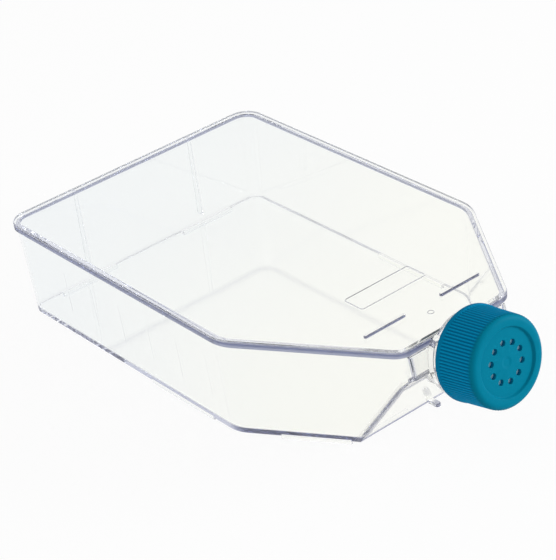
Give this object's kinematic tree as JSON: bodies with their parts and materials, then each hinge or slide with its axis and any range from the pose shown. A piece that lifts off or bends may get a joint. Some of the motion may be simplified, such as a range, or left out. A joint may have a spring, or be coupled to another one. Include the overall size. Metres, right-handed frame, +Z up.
{
  "type": "cell culture flask",
  "caption": "Clear flat culture flask with tapered shoulders, a canted neck, a welded cover with stacking ribs and a ribbed, vented screw cap.",
  "frame": {"origin": "bottom centre of the whole object's box, on the plane the feet stand on", "axes": "+X from the back rim towards the cap, +Y across the flask, +Z up out of the cover"},
  "size_m": [0.2302, 0.13, 0.0559],
  "materials": {
    "clear_polystyrene": "clear, polished",
    "teal_polyethylene": "satin moulded",
    "white_membrane": "porous film"
  },
  "bodies": {
    "flask": {"flask_body": "clear_polystyrene", "top_plate": "clear_polystyrene"},
    "cap_carrier": {"vent_membrane": "white_membrane"},
    "cap": {"screw_cap": "teal_polyethylene"}
  },
  "joints": [
    {"name": "cap_lift", "type": "slide", "parent": "flask", "child": "cap_carrier", "axis": [0.9833, 0, 0.1822], "range_m": [0, 0.0241]},
    {"name": "cap_turn", "type": "hinge", "parent": "cap_carrier", "child": "cap", "pos_m": [0.08846, 0, 0.0344], "axis": [0.9833, 0, 0.1822], "range_deg": [0, 2160]}
  ],
  "couplings": [
    {"joint": "cap_lift", "follows": "cap_turn", "m_per_rad": 0.00063662}
  ]
}
